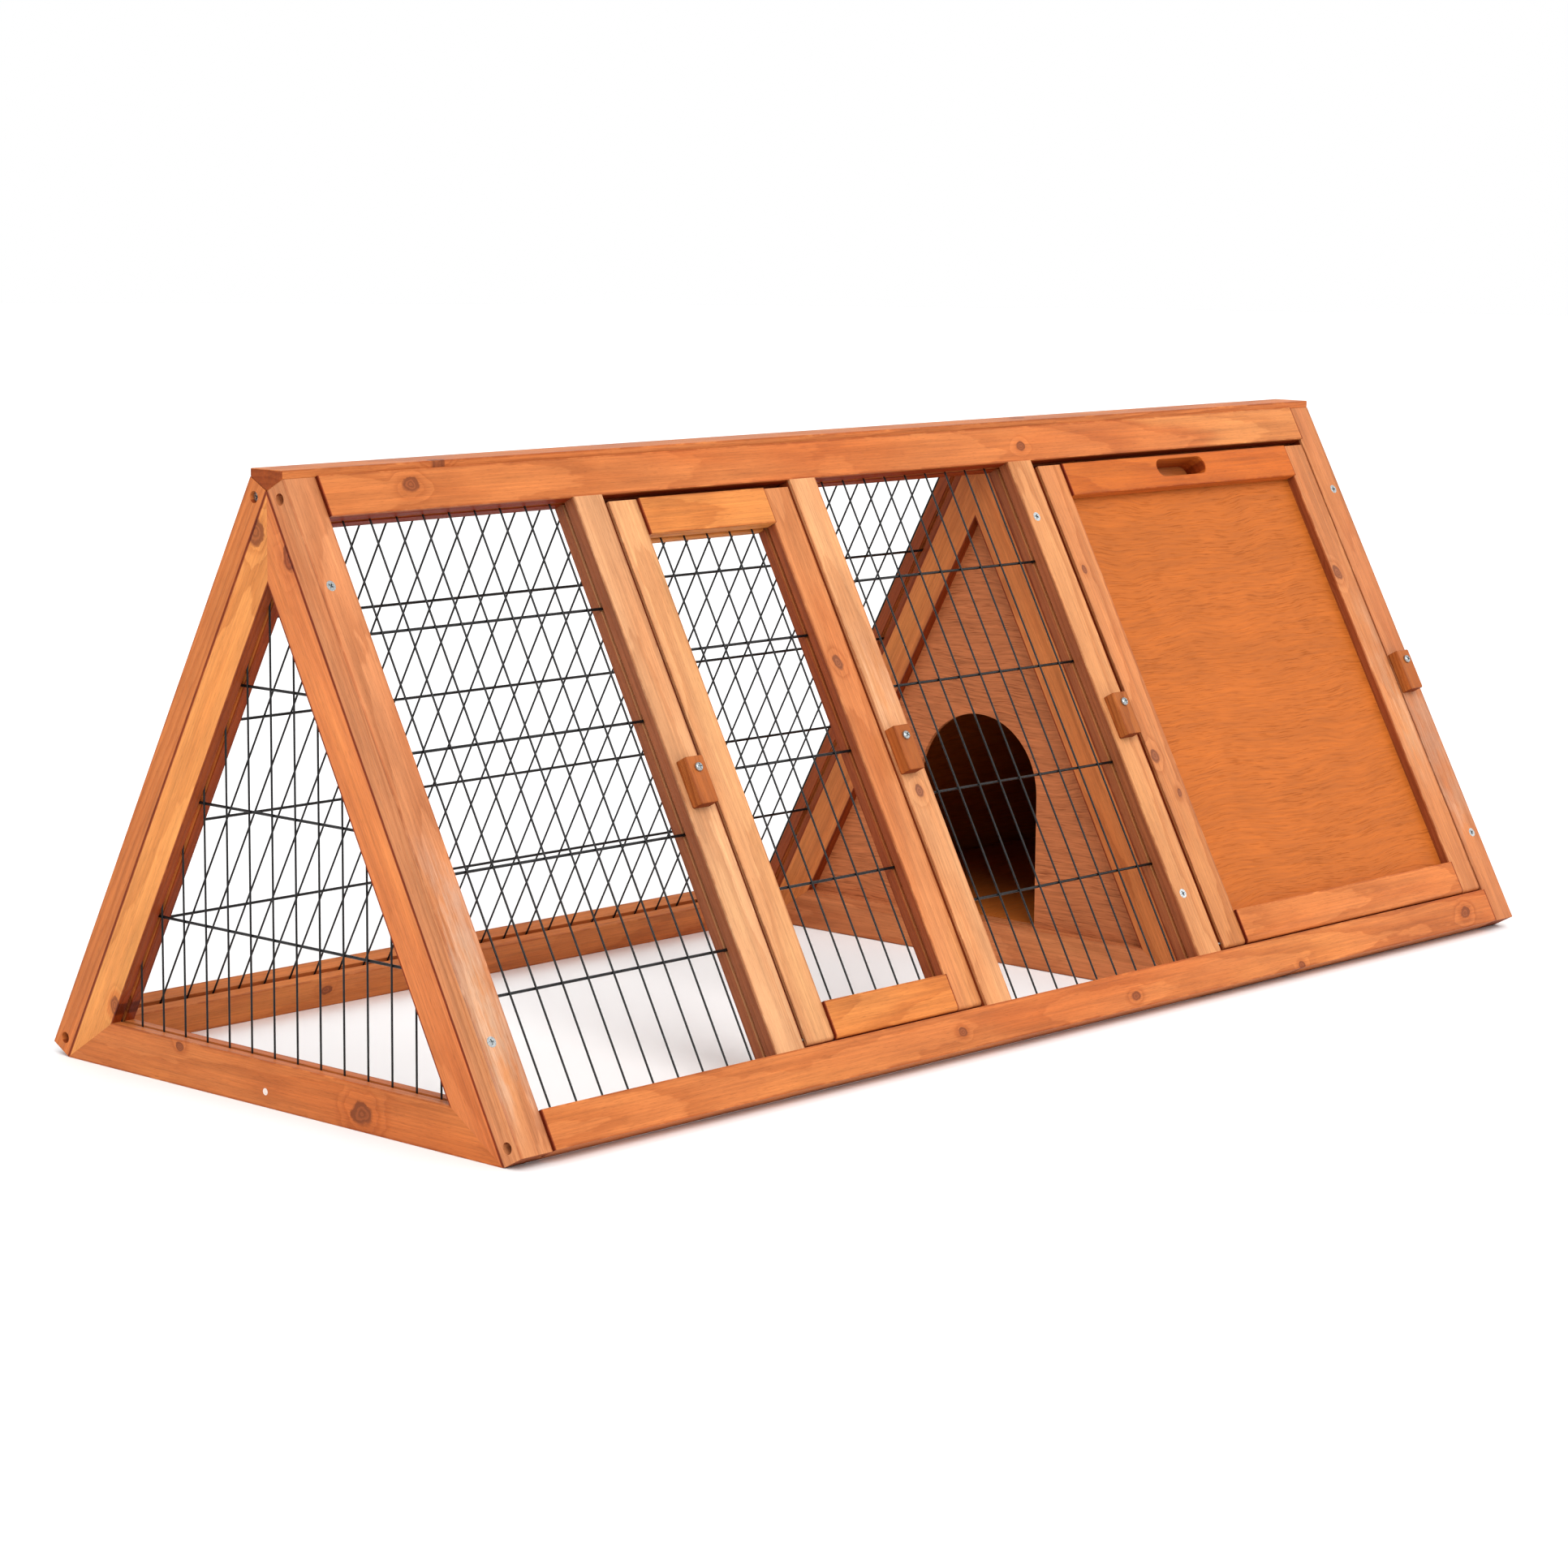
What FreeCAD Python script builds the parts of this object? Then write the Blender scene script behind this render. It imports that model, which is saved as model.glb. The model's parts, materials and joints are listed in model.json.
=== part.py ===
import FreeCAD, Part
import math
import os
import re
import Sketcher
from FreeCAD import Placement, Rotation, Vector

# An A-frame rabbit hutch: two leaning side panels of grooved sticks meet under a ridge cap and are
# screwed to three triangular frames.  The run has no floor; the shelter at the +X end has one.
# +X runs along the ridge towards the shelter, -Y is the front with both doors, +Z is up, and the
# origin is on the ground under the middle of the ridge.
#
# A side panel has its own axes: X along the ridge from its -X end, S up the slope from the ground,
# and W outwards from its inner face.  A triangular frame has A across the hutch from the front foot,
# Z up, and its thickness along X.

SIZES = {
    "OverallLength": 1180.0,       # along the ridge
    "PanelSlope": 486.0,           # a side panel, up its slope
    "LeanAngle": 61.65,            # a side panel's slope above the ground, degrees
    "StileWidth": 28.5,
    "StileThickness": 19.2,        # end stiles and door stiles
    "RailThickness": 21.7,         # rails and inner stiles stand this far out
    "BottomRailWidth": 28.5,
    "TopRailWidth": 30.0,
    "LeftWindow": 228.0,           # front bays, from the -X end
    "RunDoorBay": 200.0,
    "MiddleWindow": 231.5,
    "RearStileShift": 4.0,         # the rear divider stile sits this far beyond the front one
    "GrooveWidth": 4.0,
    "GrooveDepth": 5.0,
    "GrooveCentre": 9.2,           # from the inner face
    "BoardThickness": 3.6,
    "WireDiameter": 1.5,           # upright wires
    "CrossWireDiameter": 2.1,
    "WireWeld": 0.2,               # crossed wires melt this far into each other
    "WirePitch": 24.35,
    "RearWirePitch": 25.0,
    "WireFirst": 19.0,             # from a window's -X edge to its first wire
    "DoorWireFirst": 20.1,
    "EndWireOffset": 9.0,          # the left end's middle wire from the middle of the hutch
    "RearWireFirst": 4.1,
    "CrossWirePitch": 87.4,
    "CrossWireFirst": 83.0,        # from the bottom rail to the first cross wire
    "DoorCrossWirePitch": 93.8,
    "DoorCrossWireFirst": 89.3,
    "FrameThickness": 20.0,
    "FrameLegWidth": 30.0,
    "FrameRailWidth": 33.0,
    "RidgeEdge": 5.8,              # height of the cap's upright edges
    "ArchWidth": 125.0,
    "ArchSpring": 140.0,           # height at which the arch starts to curve
    "DoorWidthGap": 2.0,           # on a door's +X side
    "RunDoorGap": 6.5,             # on the run door's -X side
    "ShelterDoorGap": 9.0,         # on the shelter door's -X side
    "DoorBottomGap": 1.2,
    "DoorTopGap": 5.0,
    "DoorRailWidth": 28.5,
    "StopGap": 0.3,                # between a closed door and its stop
    "StopThickness": 8.0,
    "StopWidth": 36.0,
    "StopOverlap": 26.0,           # of the stop behind the door bay, below the top rail
    "StopLap": 18.0,               # of the run door's stop on the stile at each end
    "PivotInset": 5.5,             # door pivot, from the door's outer and bottom faces
    "PivotRounding": 3.4,          # of the door's outer bottom edge
    "PinDiameter": 2.5,
    "PinClearance": 0.05,
    "PinReach": 12.0,              # into the fixed stile and into the door stile
    "SlotLength": 66.0,
    "SlotHeight": 15.4,
    "SlotRise": 3.0,               # above the middle of the door's top rail
    "ButtonLength": 36.0,
    "ButtonWidth": 18.0,
    "ButtonThickness": 10.0,
    "ButtonPivotInset": 9.0,       # from the button's short end
    "ButtonDrop": 3.0,             # from the middle of the slope down to the pivot
    "ButtonSideGap": 0.35,         # from a hanging right button to the edge of its stile at the door
    "ButtonRounding": 1.4,
    "ButtonLift": 0.2,
    "ButtonScrewHead": 6.8,
    "ButtonScrewHeight": 2.4,
    "ScrewDiameter": 4.0,
    "ScrewHead": 7.6,
    "ScrewHeadDepth": 2.4,
    "ScrewLength": 38.0,
    "ScrewInset": 9.5,             # from the frame's outer face
    "ScrewLow": 80.0,              # up the slope
    "ScrewHigh": 79.0,             # down the slope from the top
    "RailScrewInset": 10.5,        # from a panel's bottom and top ends
    "Counterbore": 8.2,
    "CounterboreDepth": 11.0,
    "HighCounterboreDepth": 3.0,   # the rear top screw stands nearer the surface
    "RailScrewReach": 30.0,        # into the rail
    "RecessWidth": 1.1,
    "RecessSpan": 4.0,
    "RecessDepth": 1.3,
    "PlugDiameter": 5.0,
    "PlugDepth": 3.0,
    "PlugHeight": 11.0,
    "PlugOffset": 9.0,
    "FloorThickness": 6.0,
    "FloorGap": 1.0,
    "CleatWidth": 16.0,
    "CleatHeight": 15.0,
    "CleatLength": 330.0,
}

doc = FreeCAD.newDocument("RabbitHutch")
sheet = doc.addObject("Spreadsheet::Sheet", "Sizes")
for row, (alias, number) in enumerate(SIZES.items(), start=1):
    sheet.set("A%d" % row, alias)
    sheet.set("B%d" % row, str(number))
    sheet.setAlias("B%d" % row, alias)
doc.recompute()

# Derived lengths, as expressions of the sheet's values.
FOOT = "(PanelSlope * cos(LeanAngle))"
APEX = "(PanelSlope * sin(LeanAngle))"
INNER_STILE = "(PanelSlope - BottomRailWidth - TopRailWidth)"
DOOR_HEIGHT = "(PanelSlope - BottomRailWidth - TopRailWidth - DoorBottomGap - DoorTopGap)"
GROOVE_LOW = "(GrooveCentre - GrooveWidth / 2)"
GROOVE_HIGH = "(GrooveCentre + GrooveWidth / 2)"

nodes = {}


def bind(text):
    """The expression with every size read from the sheet."""
    return re.sub(r"[A-Za-z]\w*", lambda word: "Sizes." + word[0] if word[0] in SIZES else word[0], text)


def size(text):
    """The number that an expression of the sheet's values comes to."""
    number = sheet.evalExpression(bind(text))
    return float(getattr(number, "Value", number))


def node(name, obj):
    obj.Label = name
    nodes[name] = obj
    return obj


# ---------------------------------------------------------------- sketches and features

def new_body(name, placement):
    body = doc.addObject("PartDesign::Body", "Body_" + name)
    body.Placement = placement
    return body


def new_sketch(body, plane_role, lift="0"):
    plane = [item for item in body.Origin.OriginFeatures if item.Role == plane_role][0]
    sketch = body.newObject("Sketcher::SketchObject", "Sketch")
    sketch.AttachmentSupport = [(plane, "")]
    sketch.MapMode = "FlatFace"
    if lift != "0":
        sketch.setExpression("AttachmentOffset.Base.z", bind(lift))
    return sketch


def fix_point(sketch, geometry, point, across, up):
    """Hold a point by its two distances from the sketch's origin."""
    for kind, axis, text in (("DistanceX", -2, across), ("DistanceY", -1, up)):
        if text == "0":
            sketch.addConstraint(Sketcher.Constraint("PointOnObject", geometry, point, axis))
            continue
        index = sketch.addConstraint(Sketcher.Constraint(kind, -1, 1, geometry, point, size(text)))
        sketch.setExpression("Constraints[%d]" % index, bind(text))


def draw_polygon(sketch, corners):
    count = len(corners)
    places = [Vector(size(across), size(up), 0) for across, up in corners]
    for i in range(count):
        sketch.addGeometry(Part.LineSegment(places[i], places[(i + 1) % count]))
    for i in range(count):
        sketch.addConstraint(Sketcher.Constraint("Coincident", i, 2, (i + 1) % count, 1))
    for i, (across, up) in enumerate(corners):
        fix_point(sketch, i, 1, across, up)


def draw_circle(sketch, across, up, radius):
    circle = sketch.addGeometry(Part.Circle(Vector(size(across), size(up), 0), Vector(0, 0, 1), size(radius)))
    index = sketch.addConstraint(Sketcher.Constraint("Radius", circle, size(radius)))
    sketch.setExpression("Constraints[%d]" % index, bind(radius))
    fix_point(sketch, circle, 3, across, up)


def pad(body, corners, length):
    sketch = new_sketch(body, "XY_Plane")
    draw_polygon(sketch, corners)
    feature = body.newObject("PartDesign::Pad", "Pad")
    feature.Profile = sketch
    feature.setExpression("Length", bind(length))
    return feature


def pocket(body, sketch, length=None):
    """Cut a sketch's area away, by a length against its normal or right through."""
    feature = body.newObject("PartDesign::Pocket", "Pocket")
    feature.Profile = sketch
    if length is None:
        feature.Type = "ThroughAll"
        feature.Midplane = True
    else:
        feature.setExpression("Length", bind(length))
    return feature


def cut(blank, tools):
    """The blank with the tools' space removed."""
    feature = doc.addObject("Part::Cut", "Cut")
    feature.Base = blank
    if len(tools) == 1:
        feature.Tool = tools[0]
    else:
        feature.Tool = doc.addObject("Part::Compound", "Tools")
        feature.Tool.Links = tools
    return feature


def cylinder(radius, height, placement):
    item = doc.addObject("Part::Cylinder", "Cylinder")
    item.setExpression("Radius", bind(radius))
    item.setExpression("Height", bind(height))
    item.Placement = placement
    return item


def box(length, width, height, placement):
    item = doc.addObject("Part::Box", "Box")
    item.setExpression("Length", bind(length))
    item.setExpression("Width", bind(width))
    item.setExpression("Height", bind(height))
    item.Placement = placement
    return item


def fuse(items):
    feature = doc.addObject("Part::MultiFuse", "Fusion")
    feature.Shapes = items
    return feature


def group(name, items):
    feature = doc.addObject("Part::Compound", "Group_" + name)
    feature.Links = items
    return node(name, feature)


# ---------------------------------------------------------------- axes of panels and frames

LENGTH = size("OverallLength")
foot = size(FOOT)
lean = Rotation(Vector(1, 0, 0), size("LeanAngle"))
PANELS = {
    "front": Placement(Vector(-LENGTH / 2, -foot, 0), lean),
    "rear": Placement(Vector(LENGTH / 2, foot, 0), Rotation(Vector(0, 0, 1), 180) * lean),
}
TO_FRAME = Rotation(Vector(0, 1, 0), Vector(0, 0, 1), Vector(1, 0, 0), "XYZ")
# Inside a panel: a stile's profile runs X by W and its length down the slope, a rail's profile
# runs S by W and its length along X, and a screw's length runs inwards or along X.
ALONG_STILE = Rotation(Vector(1, 0, 0), Vector(0, 0, 1), Vector(0, -1, 0), "XYZ")
ALONG_RAIL = Rotation(Vector(0, 1, 0), Vector(0, 0, 1), Vector(1, 0, 0), "XYZ")
INWARDS = Rotation(Vector(1, 0, 0), 180)
ALONG_MINUS_X = Rotation(Vector(0, 1, 0), Vector(0, 0, -1), Vector(-1, 0, 0), "XYZ")


def in_panel(side, across, slope, out, turn=Rotation()):
    """A place in a panel's own axes.  Across is from the -X end on both panels."""
    if side == "rear":
        across = LENGTH - across
    return PANELS[side] * Placement(Vector(across, slope, out), turn)


def in_frame(across_x, turn=Rotation()):
    return Placement(Vector(across_x - LENGTH / 2, -foot, 0), TO_FRAME * turn)


# ---------------------------------------------------------------- sticks

def stick_profile(width, inner, outer, grooves):
    """A stick's outline with a saw groove in its low side, its high side or both."""
    low, high = GROOVE_LOW, GROOVE_HIGH
    corners = [("0", inner), (width, inner)]
    if "high" in grooves:
        floor = "%s - GrooveDepth" % width
        corners += [(width, low), (floor, low), (floor, high), (width, high)]
    corners += [(width, outer), ("0", outer)]
    if "low" in grooves:
        corners += [("0", high), ("GrooveDepth", high), ("GrooveDepth", low), ("0", low)]
    return corners


def stile(name, side, across, slope_top, length, thickness, grooves, inner="0"):
    """An upright stick.  Grooves are named by the -X and +X sides."""
    across_end = across + size("StileWidth")
    start = across_end if side == "rear" else across
    swap = {"minus": "high", "plus": "low"} if side == "rear" else {"minus": "low", "plus": "high"}
    body = new_body(name, in_panel(side, start, slope_top, 0, ALONG_STILE))
    pad(body, stick_profile("StileWidth", inner, thickness, [swap[item] for item in grooves]), length)
    return body


def rail(name, side, across, slope, length, width, thickness, grooves, inner="0"):
    """A level stick.  Its profile's low side faces the ground."""
    start = across + size(length) if side == "rear" else across
    body = new_body(name, in_panel(side, start, slope, 0, ALONG_RAIL))
    pad(body, stick_profile(width, inner, thickness, grooves), length)
    return body


# ---------------------------------------------------------------- screws and pins

def cross_recess(placement, turn_angle):
    """The crossed slots in a screw's head, sunk along the screw from its top."""
    slots = []
    for quarter in (0, 90):
        turn = placement * Placement(Vector(), Rotation(Vector(0, 0, 1), turn_angle + quarter))
        middle = Placement(Vector(-size("RecessSpan") / 2, -size("RecessWidth") / 2, 0), Rotation())
        slots.append(box("RecessSpan", "RecessWidth", "RecessDepth", turn * middle))
    return fuse(slots)


def panel_screw(side, across, slope, thickness, index):
    """A countersunk screw driven inwards, flush with the outer face."""
    top = in_panel(side, across, slope, size(thickness), INWARDS)
    head = doc.addObject("Part::Cone", "Head")
    head.setExpression("Radius1", bind("ScrewHead / 2"))
    head.setExpression("Radius2", bind("ScrewDiameter / 2"))
    head.setExpression("Height", bind("ScrewHeadDepth"))
    head.Placement = top
    below = top * Placement(Vector(0, 0, size("ScrewHeadDepth")), Rotation())
    shank = cylinder("ScrewDiameter / 2", "ScrewLength - ScrewHeadDepth", below)
    envelope = fuse([head, shank])
    return envelope, cut(envelope, [cross_recess(top, 37 * index % 90)])


def rail_screw(side, end, slope, depth, index):
    """A screw sunk in an end stile's face, along the rail.  Returns its hole and the screw."""
    inner = end == "minus"
    face = 0 if inner else LENGTH
    forward = inner != (side == "rear")
    mouth = in_panel(side, face, slope, size("StileThickness") / 2, ALONG_RAIL if forward else ALONG_MINUS_X)
    head_top = mouth * Placement(Vector(0, 0, size(depth)), Rotation())
    neck = mouth * Placement(Vector(0, 0, size(depth + " + ScrewHeadDepth")), Rotation())
    bore = cylinder("Counterbore / 2", depth + " + ScrewHeadDepth", mouth)
    shank_length = "StileWidth + RailScrewReach - %s - ScrewHeadDepth" % depth
    shank = cylinder("ScrewDiameter / 2", shank_length, neck)
    head = cylinder("ScrewHead / 2", "ScrewHeadDepth", head_top)
    recess = cross_recess(head_top, 53 * index % 90)
    return fuse([bore, shank]), cut(fuse([head, shank]), [recess])


def button_screw(pivot, index):
    """A round-headed screw that holds a turn button against its stile."""
    reach = "ButtonLift + ButtonThickness + 0.1"
    seat = pivot * Placement(Vector(0, 0, size(reach)), Rotation())
    shank = cylinder("ScrewDiameter / 2", reach + " + PinReach",
                     pivot * Placement(Vector(0, 0, -size("PinReach")), Rotation()))
    disc = cylinder("ButtonScrewHead / 2", "ButtonScrewHeight", seat)
    dome = doc.addObject("Part::Fillet", "Dome")
    dome.Base = disc
    doc.recompute()
    rim = [number for number, edge in enumerate(disc.Shape.Edges, start=1)
           if len(edge.Vertexes) == 1 and disc.Placement.inverse().multVec(edge.CenterOfMass).z > 1][0]
    radius = 0.7 * size("ButtonScrewHeight")
    dome.Edges = [(rim, radius, radius)]
    top = seat * Placement(Vector(0, 0, size("ButtonScrewHeight")), Rotation(Vector(1, 0, 0), 180))
    return shank, cut(fuse([shank, dome]), [cross_recess(top, 41 * index % 90)])


# ---------------------------------------------------------------- places along the ridge

stile_width = size("StileWidth")
RUN_STILE_LEFT = size("StileWidth + LeftWindow")
RUN_STILE_RIGHT = size("2 * StileWidth + LeftWindow + RunDoorBay")
DIVIDER = size("3 * StileWidth + LeftWindow + RunDoorBay + MiddleWindow")
REAR_DIVIDER = size("3 * StileWidth + LeftWindow + RunDoorBay + MiddleWindow + RearStileShift")
END_STILE = size("OverallLength - StileWidth")
SHELTER_BAY = "(OverallLength - 5 * StileWidth - LeftWindow - RunDoorBay - MiddleWindow)"
END_RAIL_LENGTH = "(OverallLength - 2 * StileWidth)"
slope_top = size("PanelSlope")
rail_under = size("PanelSlope - TopRailWidth")

# Screws through the panels' outer faces into the triangular frames, two in each stile.
panel_screws = []
face_holes = {}
FRAME_PLACES = {"left": 0.0, "divider": DIVIDER, "right": size("OverallLength - FrameThickness")}
for side in ("front", "rear"):
    for place, start in FRAME_PLACES.items():
        thickness = "RailThickness" if place == "divider" else "StileThickness"
        for slope in ("ScrewLow", "PanelSlope - ScrewHigh"):
            across = start + (size("ScrewInset") if place != "right" else size("FrameThickness - ScrewInset"))
            hole, screw = panel_screw(side, across, size(slope), thickness, len(panel_screws))
            panel_screws.append(screw)
            face_holes.setdefault((side, place), []).append(hole)
group("panel_screws", panel_screws)

# Screws through the end stiles into the ends of the rails.
rail_screws = []
end_holes = {}
for side in ("front", "rear"):
    for end in ("minus", "plus"):
        for place, slope in (("bottom", "RailScrewInset"), ("top", "PanelSlope - RailScrewInset")):
            shallow = (side, end, place) == ("rear", "minus", "top")
            depth = "HighCounterboreDepth" if shallow else "CounterboreDepth"
            hole, screw = rail_screw(side, end, size(slope), depth, len(rail_screws))
            rail_screws.append(screw)
            end_holes[side, end, place] = hole
group("rail_screws", rail_screws)

# Each door turns on two pins beside its outer bottom edge.
PIVOT_SLOPE = size("BottomRailWidth + DoorBottomGap + PivotInset")
PIVOT_OUT = size("RailThickness - PivotInset")
DOORS = {
    "run": (RUN_STILE_LEFT + stile_width, "RunDoorBay", "RunDoorGap"),
    "shelter": (DIVIDER + stile_width, SHELTER_BAY, "ShelterDoorGap"),
}
pin_holes = {}
pin_clearances = {}
for door, (bay_start, bay, gap) in DOORS.items():
    bay_end = bay_start + size(bay)
    pins = []
    for end, length, start in (
            ("minus", "2 * PinReach + " + gap, bay_start - size("PinReach")),
            ("plus", "2 * PinReach + DoorWidthGap", bay_end - size("PinReach + DoorWidthGap"))):
        place = in_panel("front", start, PIVOT_SLOPE, PIVOT_OUT, ALONG_RAIL)
        pin = cylinder("PinDiameter / 2", length, place)
        pins.append(pin)
        pin_holes[door, end] = pin
        space = place * Placement(Vector(0, 0, -1), Rotation())
        pin_clearances[door, end] = cylinder("PinDiameter / 2 + PinClearance", length + " + 2", space)
    group(door + "_door_pins", pins)

# A turn button on the stile at each side of each door, a little below half the slope.  The left ones
# pivot in the middle of their stiles, the right ones close to the door.
BUTTON_EDGE = size("ButtonWidth / 2 + ButtonSideGap")
BUTTONS = {
    "run_button_left": RUN_STILE_LEFT + size("StileWidth / 2"),
    "run_button_right": RUN_STILE_RIGHT + BUTTON_EDGE,
    "shelter_button_left": DIVIDER + size("StileWidth / 2"),
    "shelter_button_right": END_STILE + BUTTON_EDGE,
}
button_screws = []
button_holes = {}
for index, (name, across) in enumerate(BUTTONS.items()):
    face = size("StileThickness") if name == "shelter_button_right" else size("RailThickness")
    pivot = in_panel("front", across, size("PanelSlope / 2 - ButtonDrop"), face)
    hole, screw = button_screw(pivot, index)
    button_screws.append(screw)
    button_holes[name] = hole
    corner = Vector(-size("ButtonWidth") / 2, size("ButtonPivotInset - ButtonLength"), size("ButtonLift"))
    block = box("ButtonWidth", "ButtonLength", "ButtonThickness", pivot * Placement(corner, Rotation()))
    rounded = doc.addObject("Part::Fillet", "Rounded")
    rounded.Base = block
    doc.recompute()
    radius = size("ButtonRounding")
    back = size("ButtonLift")
    in_pivot = pivot.inverse()
    rounded.Edges = [(number, radius, radius) for number, edge in enumerate(block.Shape.Edges, start=1)
                     if in_pivot.multVec(edge.CenterOfMass).z > back + 0.01]
    space = cylinder("ScrewDiameter / 2 + PinClearance", "ButtonThickness + 2", pivot)
    node(name, cut(rounded, [space]))
group("button_screws", button_screws)

# ---------------------------------------------------------------- front panel

node("front_left_stile", cut(
    stile("front_left_stile", "front", 0, slope_top, "PanelSlope", "StileThickness", ["plus"]),
    face_holes["front", "left"] + [end_holes["front", "minus", "bottom"], end_holes["front", "minus", "top"]]))
node("front_inner_stile_left", cut(
    stile("front_inner_stile_left", "front", RUN_STILE_LEFT, rail_under, INNER_STILE, "RailThickness", ["minus"]),
    [pin_holes["run", "minus"], button_holes["run_button_left"]]))
node("front_inner_stile_right", cut(
    stile("front_inner_stile_right", "front", RUN_STILE_RIGHT, rail_under, INNER_STILE, "RailThickness", ["plus"]),
    [pin_holes["run", "plus"], button_holes["run_button_right"]]))
node("front_divider_stile", cut(
    stile("front_divider_stile", "front", DIVIDER, rail_under, INNER_STILE, "RailThickness", ["minus"]),
    face_holes["front", "divider"] + [pin_holes["shelter", "minus"], button_holes["shelter_button_left"]]))
node("front_right_stile", cut(
    stile("front_right_stile", "front", END_STILE, slope_top, "PanelSlope", "StileThickness", []),
    face_holes["front", "right"] + [end_holes["front", "plus", "bottom"], end_holes["front", "plus", "top"],
                                    pin_holes["shelter", "plus"], button_holes["shelter_button_right"]]))

# ---------------------------------------------------------------- rear panel

node("rear_left_stile", cut(
    stile("rear_left_stile", "rear", 0, slope_top, "PanelSlope", "StileThickness", ["plus"]),
    face_holes["rear", "left"] + [end_holes["rear", "minus", "bottom"], end_holes["rear", "minus", "top"]]))
node("rear_divider_stile", cut(
    stile("rear_divider_stile", "rear", REAR_DIVIDER, rail_under, INNER_STILE, "RailThickness",
          ["minus", "plus"]),
    face_holes["rear", "divider"]))
node("rear_right_stile", cut(
    stile("rear_right_stile", "rear", END_STILE, slope_top, "PanelSlope", "StileThickness", ["minus"]),
    face_holes["rear", "right"] + [end_holes["rear", "plus", "bottom"], end_holes["rear", "plus", "top"]]))

for side in ("front", "rear"):
    for place, slope, width, groove in (("bottom", 0, "BottomRailWidth", "high"),
                                        ("top", rail_under, "TopRailWidth", "low")):
        name = "%s_%s_rail" % (side, place)
        blank = rail(name, side, stile_width, slope, END_RAIL_LENGTH, width, "RailThickness", [groove])
        node(name, cut(blank, [end_holes[side, end, place] for end in ("minus", "plus")]))

# ---------------------------------------------------------------- doors

DOOR_BOTTOM = size("BottomRailWidth + DoorBottomGap")
DOOR_TOP = DOOR_BOTTOM + size(DOOR_HEIGHT)


def round_pivot_edge(body, face_out):
    """Round the outer bottom edge, so that the door swings clear of the rail below it."""
    doc.recompute()
    to_panel = PANELS["front"].inverse() * body.Placement
    shape = body.Tip.Shape
    names = []
    for number, edge in enumerate(shape.Edges, start=1):
        middle = to_panel.multVec(edge.CenterOfMass)
        if abs(middle.y - DOOR_BOTTOM) < 0.01 and abs(middle.z - face_out) < 0.01:
            names.append("Edge%d" % number)
    base = body.Tip
    fillet = body.newObject("PartDesign::Fillet", "Fillet")
    fillet.Base = (base, names)
    fillet.setExpression("Radius", bind("PivotRounding"))
    body.Tip = fillet


for door, (bay_start, bay, gap) in DOORS.items():
    start = bay_start + size(gap)
    width = "(%s - %s - DoorWidthGap)" % (bay, gap)
    rail_length = "(%s - 2 * StileWidth)" % width
    for end, across, groove in (("minus", start, "plus"), ("plus", start + size(width) - stile_width, "minus")):
        name = "%s_door_%s_stile" % (door, {"minus": "left", "plus": "right"}[end])
        blank = stile(name, "front", across, DOOR_TOP, DOOR_HEIGHT, "StileThickness", [groove], "StopGap")
        round_pivot_edge(blank, size("StileThickness"))
        node(name, cut(blank, [pin_clearances[door, end]]))
    for place, slope, groove in (("bottom", DOOR_BOTTOM, "high"),
                                 ("top", DOOR_TOP - size("DoorRailWidth"), "low")):
        name = "%s_door_%s_rail" % (door, place)
        body = rail(name, "front", start + stile_width, slope, rail_length, "DoorRailWidth",
                    "RailThickness", [groove], "StopGap")
        if place == "bottom":
            round_pivot_edge(body, size("RailThickness"))
        if name == "shelter_door_top_rail":
            slot_middle = "%s / 2" % rail_length
            half_straight = "(SlotLength - SlotHeight) / 2"
            slot_slope = "DoorRailWidth / 2 + SlotRise"
            hand = new_sketch(body, "XZ_Plane")
            draw_polygon(hand, [
                (slot_slope + " - SlotHeight / 2", "%s - %s" % (slot_middle, half_straight)),
                (slot_slope + " + SlotHeight / 2", "%s - %s" % (slot_middle, half_straight)),
                (slot_slope + " + SlotHeight / 2", "%s + %s" % (slot_middle, half_straight)),
                (slot_slope + " - SlotHeight / 2", "%s + %s" % (slot_middle, half_straight))])
            pocket(body, hand)
            ends = new_sketch(body, "XZ_Plane")
            draw_circle(ends, slot_slope, "%s - %s" % (slot_middle, half_straight), "SlotHeight / 2")
            draw_circle(ends, slot_slope, "%s + %s" % (slot_middle, half_straight), "SlotHeight / 2")
            pocket(body, ends)
        node(name, body)

# A batten behind the top of each doorway stops the door, which leans in on it.
for door, (bay_start, bay, gap) in DOORS.items():
    if door == "run":
        start, length = bay_start - size("StopLap"), bay + " + 2 * StopLap"
    else:
        start = bay_start - size("StileWidth - FrameThickness")
        length = bay + " + 2 * (StileWidth - FrameThickness)"
    place = in_panel("front", start, rail_under - size("StopOverlap"), -size("StopThickness"), ALONG_RAIL)
    node(door + "_door_stop", box("StopWidth", "StopThickness", length, place))

# ---------------------------------------------------------------- boards and wire mesh

BOARD_LOW = "(GrooveCentre - BoardThickness / 2)"


def flat_board(name, side, across, slope, width, height):
    """A plywood panel that reaches the bottom of the grooves around a window."""
    start = across + size(width) + size("GrooveDepth") if side == "rear" else across - size("GrooveDepth")
    body = new_body(name, in_panel(side, start, slope - size("GrooveDepth"), size(BOARD_LOW)))
    full_width = "%s + 2 * GrooveDepth" % width
    full_height = "%s + 2 * GrooveDepth" % height
    pad(body, [("0", "0"), (full_width, "0"), (full_width, full_height), ("0", full_height)], "BoardThickness")
    return node(name, body)


def wire(length, placement, diameter="WireDiameter"):
    return cylinder(diameter + " / 2", length, placement)


def wire_places(first, pitch, span):
    """Distances of the wires from a window's edge, with none nearer an edge than its own radius."""
    places = []
    distance = size(first)
    while distance < size(span) - size("WireDiameter"):
        places.append(distance)
        distance += size(pitch)
    return places


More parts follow.
